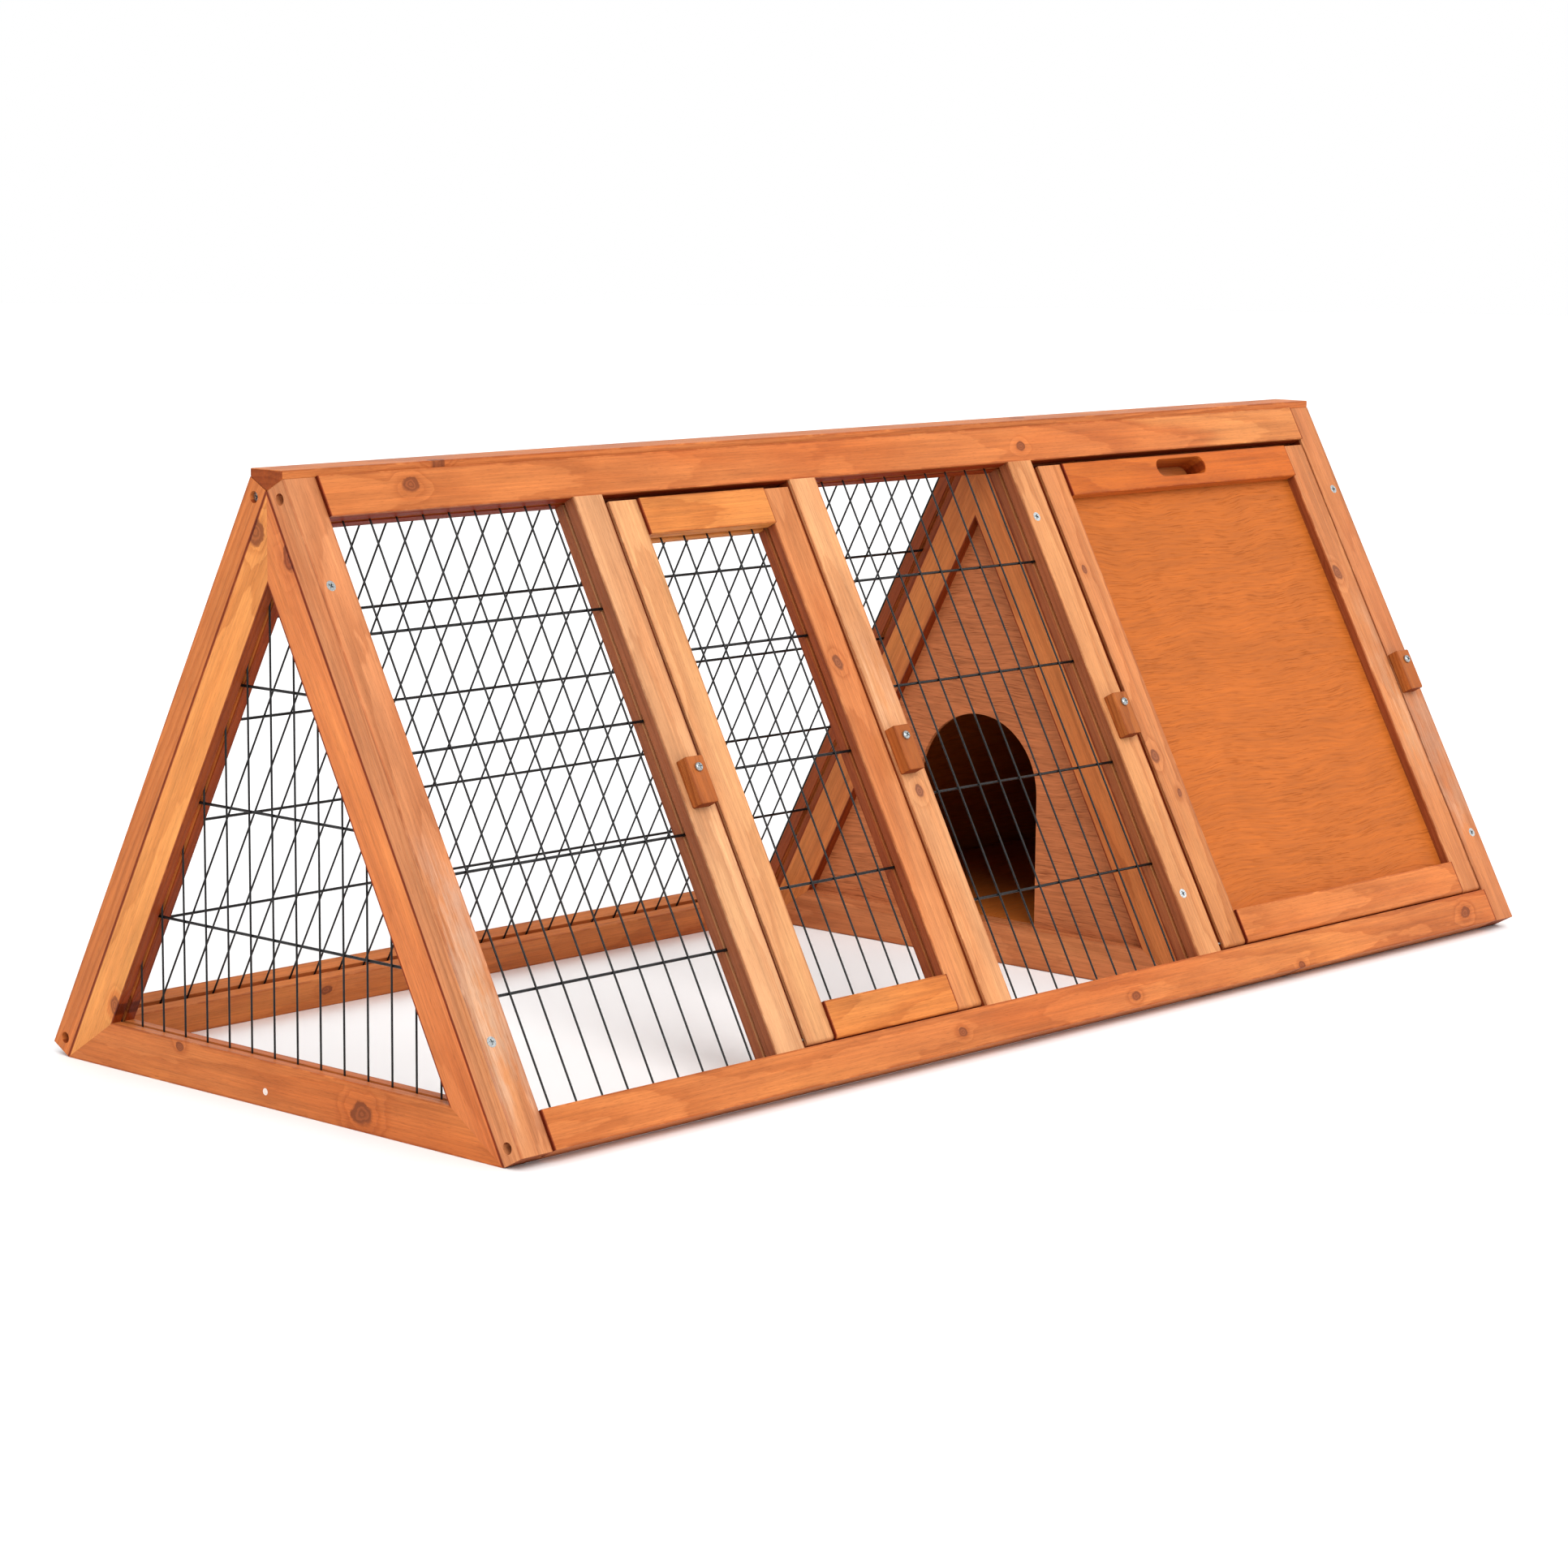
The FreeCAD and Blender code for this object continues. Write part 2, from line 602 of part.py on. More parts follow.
# The welded pair's whole depth is centred on the groove.
UPRIGHT_SHIFT = size("(CrossWireDiameter - WireWeld) / 2")
CROSS_SHIFT = size("(WireDiameter - WireWeld) / 2")


def window_mesh(name, side, across, slope, width, height, first, pitch, cross_first, cross_pitch):
    """Welded wire in a four-sided window: upright wires outside, cross wires inside."""
    wires = []
    depth = size("GrooveDepth")
    groove = size("GrooveCentre")
    for distance in wire_places(first, pitch, width):
        place = in_panel(side, across + distance, slope - depth, groove + UPRIGHT_SHIFT,
                         Rotation(Vector(1, 0, 0), -90))
        wires.append(wire("%s + 2 * GrooveDepth" % height, place))
    start = across + size(width) + depth if side == "rear" else across - depth
    for distance in wire_places(cross_first, cross_pitch, height):
        place = in_panel(side, start, slope + distance, groove - CROSS_SHIFT, ALONG_RAIL)
        wires.append(wire("%s + 2 * GrooveDepth" % width, place, "CrossWireDiameter"))
    return node(name, fuse(wires))


bottom_edge = size("BottomRailWidth")
window_mesh("front_left_mesh", "front", stile_width, bottom_edge, "LeftWindow", INNER_STILE,
            "WireFirst", "WirePitch", "CrossWireFirst", "CrossWirePitch")
window_mesh("front_middle_mesh", "front", RUN_STILE_RIGHT + stile_width, bottom_edge, "MiddleWindow",
            INNER_STILE, "WireFirst", "WirePitch", "CrossWireFirst", "CrossWirePitch")
REAR_WINDOW = "(2 * StileWidth + LeftWindow + RunDoorBay + MiddleWindow + RearStileShift)"
window_mesh("rear_mesh", "rear", stile_width, bottom_edge, REAR_WINDOW, INNER_STILE,
            "RearWireFirst", "RearWirePitch", "CrossWireFirst", "CrossWirePitch")
run_start = DOORS["run"][0] + size("RunDoorGap + StileWidth")
window_mesh("run_door_mesh", "front", run_start, DOOR_BOTTOM + size("DoorRailWidth"),
            "(RunDoorBay - RunDoorGap - DoorWidthGap - 2 * StileWidth)", "(%s - 2 * DoorRailWidth)" % DOOR_HEIGHT,
            "DoorWireFirst", "WirePitch", "DoorCrossWireFirst", "DoorCrossWirePitch")

flat_board("rear_shelter_board", "rear", REAR_DIVIDER + stile_width, bottom_edge,
           "(OverallLength - StileWidth - %s - 2 * StileWidth)" % REAR_WINDOW, INNER_STILE)
shelter_start = DOORS["shelter"][0] + size("ShelterDoorGap + StileWidth")
flat_board("shelter_door_board", "front", shelter_start, DOOR_BOTTOM + size("DoorRailWidth"),
           "(%s - ShelterDoorGap - DoorWidthGap - 2 * StileWidth)" % SHELTER_BAY,
           "(%s - 2 * DoorRailWidth)" % DOOR_HEIGHT)

# ---------------------------------------------------------------- triangular frames

LEG_ACROSS = "(FrameLegWidth / sin(LeanAngle))"
LEG_FOOT = "(FrameRailWidth / tan(LeanAngle) + %s)" % LEG_ACROSS
LEG_APEX = "(%s - FrameLegWidth / cos(LeanAngle))" % APEX
CELL_LEG = "(FrameLegWidth - GrooveDepth)"
CELL_RAIL = "(FrameRailWidth - GrooveDepth)"
CELL_FOOT = "(%s / tan(LeanAngle) + %s / sin(LeanAngle))" % (CELL_RAIL, CELL_LEG)
CELL_APEX = "(%s - %s / cos(LeanAngle))" % (APEX, CELL_LEG)
CELL = [(CELL_FOOT, CELL_RAIL), ("2 * %s - %s" % (FOOT, CELL_FOOT), CELL_RAIL), (FOOT, CELL_APEX)]
FRAME_STICKS = {
    "front_leg": [("0", "0"), (LEG_FOOT, "FrameRailWidth"), (FOOT, LEG_APEX), (FOOT, APEX)],
    "rear_leg": [("2 * " + FOOT, "0"), (FOOT, APEX), (FOOT, LEG_APEX),
                 ("2 * %s - %s" % (FOOT, LEG_FOOT), "FrameRailWidth")],
    "rail": [("0", "0"), ("2 * " + FOOT, "0"), ("2 * %s - %s" % (FOOT, LEG_FOOT), "FrameRailWidth"),
             (LEG_FOOT, "FrameRailWidth")],
}


def frame_stick(name, across_x, corners):
    body = new_body(name, in_frame(across_x))
    pad(body, corners, "FrameThickness")
    groove = new_sketch(body, "XY_Plane", "FrameThickness / 2 + GrooveWidth / 2")
    draw_polygon(groove, CELL)
    pocket(body, groove, "GrooveWidth")
    return body


def frame_cell(name, across_x, thickness):
    """A three-cornered body that fills a frame to the bottom of its grooves."""
    middle = across_x + size("FrameThickness / 2") - size(thickness) / 2
    body = new_body(name, in_frame(middle))
    pad(body, CELL, thickness)
    return body


plug_place = Placement(Vector(-LENGTH / 2, size("PlugOffset"), size("PlugHeight")), Rotation(Vector(0, 1, 0), 90))
plug = cylinder("PlugDiameter / 2", "PlugDepth", plug_place)
node("left_end_plug", plug)

FRAME_NAMES = {"left": "left_end", "divider": "divider", "right": "right_end"}
for place, across_x in FRAME_PLACES.items():
    for part_name, corners in FRAME_STICKS.items():
        name = "%s_%s" % (FRAME_NAMES[place], part_name)
        blank = frame_stick(name, across_x, corners)
        if part_name == "front_leg":
            node(name, cut(blank, face_holes["front", place]))
        elif part_name == "rear_leg":
            node(name, cut(blank, face_holes["rear", place]))
        elif place == "left":
            node(name, cut(blank, [plug]))
        else:
            node(name, blank)

# The left end's wires stand upright on its rail and are cut to the slope of its legs.  One cross
# wire lies in the rail's groove and holds the short outer ones.
left_wires = []
middle_x = size("FrameThickness / 2") - LENGTH / 2
wire_count = int(foot // size("WirePitch"))
for step in range(-wire_count, wire_count + 1):
    place = Vector(middle_x - UPRIGHT_SHIFT, size("EndWireOffset") + step * size("WirePitch"), size(CELL_RAIL))
    left_wires.append(wire("%s - %s" % (CELL_APEX, CELL_RAIL), Placement(place, Rotation())))
edge_wire = size("CrossWireDiameter - GrooveDepth")
crossings = wire_places("CrossWireFirst", "CrossWirePitch", "%s - FrameRailWidth" % LEG_APEX)
for distance in [edge_wire] + crossings:
    place = Vector(middle_x + CROSS_SHIFT, -foot, size("FrameRailWidth") + distance)
    turned = Placement(place, Rotation(Vector(1, 0, 0), -90))
    left_wires.append(wire("2 * " + FOOT, turned, "CrossWireDiameter"))
left_mesh = doc.addObject("Part::Common", "LeftMesh")
left_mesh.Base = fuse(left_wires)
left_mesh.Tool = frame_cell("left_end_cell", 0, "GrooveWidth")
node("left_end_mesh", left_mesh)

node("right_end_board", frame_cell("right_end_board", FRAME_PLACES["right"], "BoardThickness"))

divider_board = frame_cell("divider_board", DIVIDER, "BoardThickness")
doorway = new_sketch(divider_board, "XY_Plane", "BoardThickness")
arch_low = "%s - ArchWidth / 2" % FOOT
arch_high = "%s + ArchWidth / 2" % FOOT
draw_polygon(doorway, [(arch_low, "FrameRailWidth"), (arch_high, "FrameRailWidth"),
                       (arch_high, "ArchSpring"), (arch_low, "ArchSpring")])
pocket(divider_board, doorway, "BoardThickness")
arch = new_sketch(divider_board, "XY_Plane", "BoardThickness")
draw_circle(arch, FOOT, "ArchSpring", "ArchWidth / 2")
pocket(divider_board, arch, "BoardThickness")
node("divider_board", divider_board)

# ---------------------------------------------------------------- ridge cap and shelter floor

EAVE_OUT = "(StileThickness * sin(LeanAngle))"
EAVE_UP = "(StileThickness * cos(LeanAngle))"
ridge = new_body("ridge_cap", Placement(Vector(-LENGTH / 2, -size(EAVE_OUT), size(APEX)), TO_FRAME))
pad(ridge, [(EAVE_OUT, "0"), ("2 * " + EAVE_OUT, EAVE_UP), ("2 * " + EAVE_OUT, EAVE_UP + " + RidgeEdge"),
            ("0", EAVE_UP + " + RidgeEdge"), ("0", EAVE_UP)], "OverallLength")
node("ridge_cap", ridge)

floor_top = size("FrameRailWidth")
floor_start = DIVIDER + size("FrameThickness")
FLOOR_LENGTH = "(%s + 2 * StileWidth - 2 * FrameThickness - 2 * FloorGap)" % SHELTER_BAY
FLOOR_WIDTH = "(2 * (%s - FrameRailWidth / tan(LeanAngle) - FloorGap))" % FOOT
node("shelter_floor", box(FLOOR_LENGTH, FLOOR_WIDTH, "FloorThickness", Placement(
    Vector(floor_start + size("FloorGap") - LENGTH / 2, -size(FLOOR_WIDTH) / 2, floor_top - size("FloorThickness")),
    Rotation())))
cleat_z = floor_top - size("FloorThickness + CleatHeight")
for name, start in (("floor_cleat_left", floor_start),
                    ("floor_cleat_right", FRAME_PLACES["right"] - size("CleatWidth"))):
    node(name, box("CleatWidth", "CleatLength", "CleatHeight", Placement(
        Vector(start - LENGTH / 2, -size("CleatLength") / 2, cleat_z), Rotation())))

# ---------------------------------------------------------------- checks and files

doc.recompute()
for item in doc.Objects:
    for state in ("Invalid", "Error"):
        if state in item.State:
            raise RuntimeError("%s (%s) is %s" % (item.Label, item.Name, item.State))
for name, item in nodes.items():
    if item.Shape.isNull() or not item.Shape.isValid() or not item.Shape.Solids:
        raise RuntimeError("bad shape: " + name)

os.makedirs("parts", exist_ok=True)
for name, item in nodes.items():
    item.Shape.exportStep("parts/%s.step" % name)
print(len(nodes), "nodes")
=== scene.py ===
import json
import math
import random

import bpy
from mathutils import Matrix, Vector


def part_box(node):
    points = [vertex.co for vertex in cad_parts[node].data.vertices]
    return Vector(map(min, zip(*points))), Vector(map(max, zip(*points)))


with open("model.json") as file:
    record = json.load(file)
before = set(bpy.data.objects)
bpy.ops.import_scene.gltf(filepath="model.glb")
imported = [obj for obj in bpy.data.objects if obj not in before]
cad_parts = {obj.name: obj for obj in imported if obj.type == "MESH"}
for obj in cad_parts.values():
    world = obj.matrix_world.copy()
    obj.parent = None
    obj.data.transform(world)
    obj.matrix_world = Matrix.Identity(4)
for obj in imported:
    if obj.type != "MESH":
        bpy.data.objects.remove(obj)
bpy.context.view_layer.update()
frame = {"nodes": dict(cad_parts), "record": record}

# ---------------------------------------------------------------- axes of the hutch

FOOT_Y = -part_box("divider_rail")[0].y
APEX_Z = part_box("ridge_cap")[0].z
LEAN = math.atan2(APEX_Z, FOOT_Y)

ALONG_X = Vector((1, 0, 0))
ALONG_Y = Vector((0, 1, 0))
ALONG_Z = Vector((0, 0, 1))
UP_FRONT = Vector((0, math.cos(LEAN), math.sin(LEAN)))
OUT_FRONT = Vector((0, -math.sin(LEAN), math.cos(LEAN)))
UP_REAR = Vector((0, -math.cos(LEAN), math.sin(LEAN)))
OUT_REAR = Vector((0, math.sin(LEAN), math.cos(LEAN)))


def grain_axes(name):
    """The directions of a piece's grain and of its visible face, from the piece's name."""
    up, out = (UP_REAR, OUT_REAR) if name.startswith("rear") else (UP_FRONT, OUT_FRONT)
    if name == "ridge_cap" or name == "shelter_floor":
        return ALONG_X, ALONG_Z
    if name.startswith("floor_cleat"):
        return ALONG_Y, ALONG_Z
    if name.endswith("_rear_leg"):
        return UP_REAR, ALONG_X
    if name.endswith("_front_leg"):
        return UP_FRONT, ALONG_X
    if name.startswith(("left_end", "right_end", "divider")):
        return ALONG_Y, ALONG_X
    if "stile" in name or "button" in name:
        return up, out
    return ALONG_X, out


# ---------------------------------------------------------------- node graphs

class Graph:
    """A material's nodes.  Arguments are numbers, tuples or sockets."""

    def __init__(self, name):
        self.material = bpy.data.materials.new(name)
        self.material.use_nodes = True
        self.tree = self.material.node_tree
        self.shader = self.tree.nodes["Principled BSDF"]

    def add(self, kind, inputs=(), **settings):
        item = self.tree.nodes.new(kind)
        for key, value in settings.items():
            setattr(item, key, value)
        for key, value in dict(inputs).items():
            self.put(item.inputs[key], value)
        return item

    def put(self, socket, value):
        if isinstance(value, bpy.types.NodeSocket):
            self.tree.links.new(value, socket)
        else:
            socket.default_value = value

    def math(self, operation, a, b=0.0):
        item = self.add("ShaderNodeMath", operation=operation)
        self.put(item.inputs[0], a)
        self.put(item.inputs[1], b)
        return item.outputs[0]

    def product(self, first, *others):
        for other in others:
            first = self.math("MULTIPLY", first, other)
        return first

    def vector(self, operation, a, b=(0, 0, 0)):
        item = self.add("ShaderNodeVectorMath", operation=operation)
        self.put(item.inputs[0], a)
        self.put(item.inputs[1], b)
        return item.outputs["Value" if operation in ("DOT_PRODUCT", "LENGTH") else "Vector"]

    def split(self, vector):
        return self.add("ShaderNodeSeparateXYZ", {"Vector": vector}).outputs

    def join(self, x, y, z):
        return self.add("ShaderNodeCombineXYZ", {"X": x, "Y": y, "Z": z}).outputs[0]

    def noise(self, place, cycles, detail=2.0, roughness=0.5, output="Fac"):
        """Noise with so many cycles a metre along each axis of the place."""
        item = self.add("ShaderNodeTexNoise", {
            "Vector": self.vector("MULTIPLY", place, cycles), "Scale": 1.0, "Detail": detail,
            "Roughness": roughness})
        return item.outputs[output]

    def sway(self, place, cycles, reach):
        """A slow push this way and that, up to half of reach along each axis."""
        push = self.vector("SUBTRACT", self.noise(place, cycles, output="Color"), (0.5, 0.5, 0.5))
        return self.vector("MULTIPLY", push, reach)

    def span(self, value, low, high, bottom, top, shape="LINEAR"):
        """From bottom at low to top at high, and level beyond them."""
        item = self.add("ShaderNodeMapRange", {
            "Value": value, "From Min": low, "From Max": high, "To Min": bottom, "To Max": top},
            interpolation_type=shape)
        return item.outputs[0]

    def step(self, value, low, high, bottom=0.0, top=1.0):
        """The same with a smooth start and stop."""
        return self.span(value, low, high, bottom, top, "SMOOTHSTEP")

    def mix(self, factor, a, b):
        item = self.add("ShaderNodeMix", data_type="RGBA", blend_type="MIX")
        for socket, value in ((item.inputs[0], factor), (item.inputs[6], a), (item.inputs[7], b)):
            if isinstance(value, tuple):
                value = (*value, 1.0)
            self.put(socket, value)
        return item.outputs[2]

    def stain(self, colour, factor, times):
        """The colour where factor is 0, and the colour times another where it is 1; this mixes in
        real stain and wear, and also painted shade and sheen.
        """
        return self.mix(factor, colour, self.vector("MULTIPLY", colour, times))

    def brighten(self, colour, factor):
        return self.vector("MULTIPLY", colour, self.join(factor, factor, factor))

    def finish(self, colour, roughness, height, depth, metallic=0.0, specular=0.10):
        bump = self.add("ShaderNodeBump", {"Height": height, "Distance": depth, "Strength": 1.0})
        self.put(self.shader.inputs["Base Color"], colour)
        self.put(self.shader.inputs["Roughness"], roughness)
        self.put(self.shader.inputs["Normal"], bump.outputs[0])
        self.shader.inputs["Metallic"].default_value = metallic
        self.shader.inputs["Specular IOR Level"].default_value = specular
        return self.material


# ---------------------------------------------------------------- timber

SEED_REACH = 9                     # metres of noise from which each piece takes its own


class Timber:
    """A wooden piece's material: a figure of its own, laid along its own grain."""

    def __init__(self, kind, name, centre, along, face):
        self.name = name
        self.dice = random.Random(name)
        self.graph = Graph(kind + "_" + name)
        self.lay(centre, along, face)
        self.shift = tuple(self.dice.uniform(-SEED_REACH, SEED_REACH) for _ in range(3))
        self.seeded = self.graph.vector("ADD", self.place, self.shift)

    def lay(self, centre, along, face):
        """Set out the place, in metres from the centre along the grain, across it and out of the
        face, and end_face, which is 1 on end grain."""
        turn = Matrix((along, face.cross(along), face))
        coordinates = self.graph.add("ShaderNodeTexCoord")
        self.place = self.graph.add("ShaderNodeMapping", {
            "Vector": coordinates.outputs["Object"], "Location": -(turn @ centre),
            "Rotation": turn.to_euler("XYZ")}, vector_type="POINT").outputs[0]
        lengthwise = self.graph.vector("DOT_PRODUCT", coordinates.outputs["Normal"], tuple(along))
        self.end_face = self.graph.math("ABSOLUTE", lengthwise)


# ---------------------------------------------------------------- stained pine

# Each layer's colour, times the colour beneath it.
LATEWOOD = (0.62, 0.47, 0.36)
SAPWOOD = (1.12, 1.38, 1.55)
KNOT = (0.47, 0.39, 0.45)
KNOT_RIM = (0.31, 0.24, 0.29)
KNOT_HALO = (0.84, 0.68, 0.56)
THICK_STAIN = (1.02, 0.72, 0.60)
REDDER = (0.99, 0.86, 0.76)
YELLOWER = (1.02, 1.08, 1.05)
ARRIS = (0.62, 0.44, 0.36)         # stain gathers along a sawn edge
WORN = (1.08, 1.20, 1.35)
PAINTED_SHEEN_TINT = (0.97, 1.42, 2.30)          # painted sheen: a pale highlight painted onto some front faces
PAINTED_SIDE_SHADE = (0.49, 0.31, 0.27)          # painted shade on the sticks' inner sides
PAINTED_GAP_SHADE = (0.40, 0.14, 0.075)          # painted shade in the gaps beside the doors
PAINTED_SEAM_SHADE = (0.40, 0.20, 0.14)          # painted shade where two sticks meet
END_GRAIN = (0.42, 0.20, 0.12)

# Noise in cycles a metre: along the grain, across it and out of the face.
WANDER_CYCLES = (2.6, 9.0, 9.0)
LUMP_CYCLES = (95.0, 95.0, 30.0)
WAVER_CYCLES = (30.0, 110.0, 110.0)
FIBRE_CYCLES = (14.0, 620.0, 620.0)
STREAK_CYCLES = (5.0, 170.0, 170.0)
PORE_CYCLES = (130.0, 2600.0, 2600.0)
BLOTCH_CYCLES = (11.0, 26.0, 26.0)
DRIFT_CYCLES = (3.2, 16.0, 16.0)
RUB_CYCLES = (45.0, 90.0, 90.0)
PATCH_CYCLES = (16.0, 55.0, 55.0)
RING_CYCLES = (0.37, 1.0, 1.0)     # by the ring's number

WANDER = (0.0, 0.020, 0.020)       # how far a log wanders from straight
PITH_ACROSS = 0.012                # the pith is at most so far to one side of the stick
PITH_DEPTH = (0.030, 0.070)        # and so far behind or before it
TILT = (0.012, 0.045)              # its slope to the stick
RING_SPACING = 0.0052
RING_SPREAD = (0.75, 1.3)
RING_WAVER = 0.35
RISE, FALL = 0.30, 0.93            # where in a ring the latewood starts and stops
SAP_EDGE, SAP_WAVER = 0.0012, 0.001

# A knot's parts run between two distances from its middle, in radii.
KNOT_STRETCH = 0.75
KNOT_SKEW = 0.35
KNOT_LUMPS = 0.34
KNOT_BODY = (1.04, 0.84)
RIM_INSIDE = (0.72, 0.96)
RIM_OUTSIDE = (1.20, 1.00)
CRESCENT = (-0.8, 0.7)
HALO = (3.2, 0.9)
KNOT_PUSH = 1.4
KNOT_RINGS = 15.0

ARRIS_BAND = (0.0017, 0.0007)      # distances from an edge, in metres
WORN_BAND = (0.0024, 0.0008)
SIDE_BAND = (0.0016, 0.0005)
SEAM_BAND = (0.0016, 0.0006)
# how softly the painted sheen starts and stops along the stick
PAINTED_SHEEN_FADE = 0.03
PINE_RELIEF = 0.00042

END_STILES = ("front_left_stile", "front_right_stile", "rear_left_stile", "rear_right_stile")


class Pine(Timber):
    """Stained softwood cut from a log: growth rings round a pith beside the stick, fibres, knots,
    worn edges, a painted sheen on some front faces, painted shade on inner sides, in gaps and at
    seams, and dark end grain."""

    def __init__(self, name, centre, along, face, half, tone, rings=1.0):
        super().__init__("pine", name, centre, along, face)
        graph, seeded = self.graph, self.seeded
        self.half, self.tone, self.rings = half, tone, rings
        radius = self.log()
        self.along, self.across, self.out = graph.split(self.place)
        self.knots = []
        for knot in KNOTS.get(name, ()):
            radius = self.add_knot(radius, *knot)
        self.waver = graph.noise(seeded, WAVER_CYCLES)
        self.late = self.latewood(radius)
        self.fibre = graph.noise(seeded, FIBRE_CYCLES, 3.0, 0.6)
        self.pores = graph.noise(seeded, PORE_CYCLES, 1.0)
        self.blotch = graph.noise(seeded, BLOTCH_CYCLES, 3.0, 0.6)
        self.measure_edges()
        colour = self.wood(radius)
        colour = self.uneven_stain(colour)
        colour = self.knotted(colour)
        colour = self.worn_edges(colour)
        # painted sheen on some front faces, then painted shade on sides, gaps and seams
        colour = self.add_painted_sheen(colour)
        colour = self.add_painted_shade(colour)
        self.material = self.surface(colour)

    def log(self):
        """Distance from the pith of a log that wanders slowly along the stick."""
        graph, dice = self.graph, self.dice
        bend = graph.sway(self.seeded, WANDER_CYCLES, WANDER)
        u, v, w = graph.split(graph.vector("ADD", self.place, bend))
        self.bark = dice.choice((-1, 1))
        pith_across = dice.uniform(-PITH_ACROSS, PITH_ACROSS)
        self.pith_out = self.bark * dice.uniform(*PITH_DEPTH)
        tilt = dice.uniform(*TILT) * dice.choice((-1, 1))
        v = graph.math("SUBTRACT", v, pith_across)
        w = graph.math("ADD", w, graph.math("MULTIPLY", u, tilt))
        w = graph.math("SUBTRACT", w, self.pith_out)
        return graph.vector("LENGTH", graph.join(0.0, v, w))

    def add_knot(self, radius, along_at, across_at, size):
        """Note a knot's layers, and give the log's radius with its rings pushed aside."""
        graph = self.graph

        def fade(value, between, *levels):
            return graph.step(value, between[0] * size, between[1] * size, *levels)

        skew = self.dice.uniform(-KNOT_SKEW, KNOT_SKEW)
        du = graph.math("SUBTRACT", self.along, along_at)
        dv = graph.math("SUBTRACT", self.across, across_at)
        du = graph.math("ADD", du, graph.math("MULTIPLY", dv, skew))
        du = graph.math("MULTIPLY", du, KNOT_STRETCH)
        lumps = graph.noise(self.seeded, LUMP_CYCLES, 3.0, 0.6)
        lumps = graph.span(lumps, 0.2, 0.8, -KNOT_LUMPS * size, KNOT_LUMPS * size)
        reach = graph.math("ADD", graph.vector("LENGTH", graph.join(du, dv, 0.0)), lumps)
        body = fade(reach, KNOT_BODY)
        rim = graph.product(fade(reach, RIM_INSIDE), fade(reach, RIM_OUTSIDE),
                            fade(graph.math("ADD", dv, du), CRESCENT, 0.45, 1.0))
        halo = fade(reach, HALO)
        rings = graph.math("SINE", graph.math("MULTIPLY", reach, KNOT_RINGS / size))
        self.knots.append((body, rim, halo, rings))
        push = graph.math("MULTIPLY", halo, self.bark * KNOT_PUSH * size)
        return graph.math("SUBTRACT", radius, push)

    def latewood(self, radius):
        """Dark lines that rise softly and stop sharply, some stronger than others."""
        graph = self.graph
        spacing = RING_SPACING * self.dice.uniform(*RING_SPREAD)
        waver = graph.span(self.waver, 0.0, 1.0, -RING_WAVER, RING_WAVER)
        phase = graph.math("ADD", graph.math("DIVIDE", radius, spacing), waver)
        cycle = graph.math("FRACT", phase)
        rise, fall, stop = (RISE, FALL, 1.0) if self.bark < 0 else (1 - RISE, 1 - FALL, 0.0)
        late = graph.product(graph.step(cycle, rise, fall), graph.step(cycle, stop, fall))
        ring = graph.join(graph.math("FLOOR", phase), self.shift[0], 0.0)
        strength = graph.noise(ring, RING_CYCLES, 0.0)
        return graph.product(late, graph.span(strength, 0.3, 0.7, 0.35, 1.0))

    def measure_edges(self):
        """Distances in from the stick's long sides, its nearest long edge and its ends."""
        graph = self.graph
        length_at, width_at, depth_at = graph.split(graph.vector("ABSOLUTE", self.place))
        self.from_end = graph.math("SUBTRACT", self.half[0], length_at)
        self.from_side = graph.math("SUBTRACT", self.half[1], width_at)
        from_face = graph.math("SUBTRACT", self.half[2], depth_at)
        self.from_edge = graph.math("MAXIMUM", self.from_side, from_face)

    def wood(self, radius):
        """Earlywood, latewood and, where the stick holds some, pale sapwood."""
        graph = self.graph
        dark = tuple(part * times for part, times in zip(self.tone, LATEWOOD))
        colour = graph.mix(graph.math("MULTIPLY", self.late, 0.52 * self.rings), self.tone, dark)
        if self.name in SAP:
            edge = graph.math("SUBTRACT", radius, abs(self.pith_out) + SAP[self.name])
            edge = graph.math("ADD", edge, graph.span(self.waver, 0.0, 1.0, -SAP_WAVER, SAP_WAVER))
            light = graph.step(edge, -SAP_EDGE, SAP_EDGE)
            colour = graph.stain(colour, graph.math("MULTIPLY", light, 0.72), SAPWOOD)
        return colour

    def uneven_stain(self, colour):
        """Fibres, pores, blotches, and stretches that are redder or yellower."""
        graph = self.graph
        streak = graph.noise(self.seeded, STREAK_CYCLES)
        shade = graph.product(
            graph.span(self.fibre, 0.25, 0.75, 0.82, 1.16),
            graph.span(self.blotch, 0.25, 0.75, 0.86, 1.10),
            graph.span(streak, 0.3, 0.7, 0.90, 1.08),
            graph.step(self.pores, 0.30, 0.42, 0.80, 1.0))
        colour = graph.brighten(colour, shade)
        thick = graph.span(self.blotch, 0.3, 0.7, 0.20, 0.0)
        colour = graph.stain(colour, thick, THICK_STAIN)
        drift = graph.noise(self.seeded, DRIFT_CYCLES)
        colour = graph.stain(colour, graph.step(drift, 0.52, 0.72), REDDER)
        return graph.stain(colour, graph.step(drift, 0.48, 0.30), YELLOWER)

    def knotted(self, colour):
        graph = self.graph
        for body, rim, halo, rings in self.knots:
            colour = graph.stain(colour, graph.math("MULTIPLY", halo, 0.32), KNOT_HALO)
            heart = graph.brighten(graph.vector("MULTIPLY", self.tone, KNOT),
                                   graph.span(rings, -1.0, 1.0, 0.78, 1.15))
            colour = graph.mix(body, colour, heart)
            colour = graph.mix(graph.math("MULTIPLY", rim, 0.85), colour,
                               graph.vector("MULTIPLY", self.tone, KNOT_RIM))
        return colour

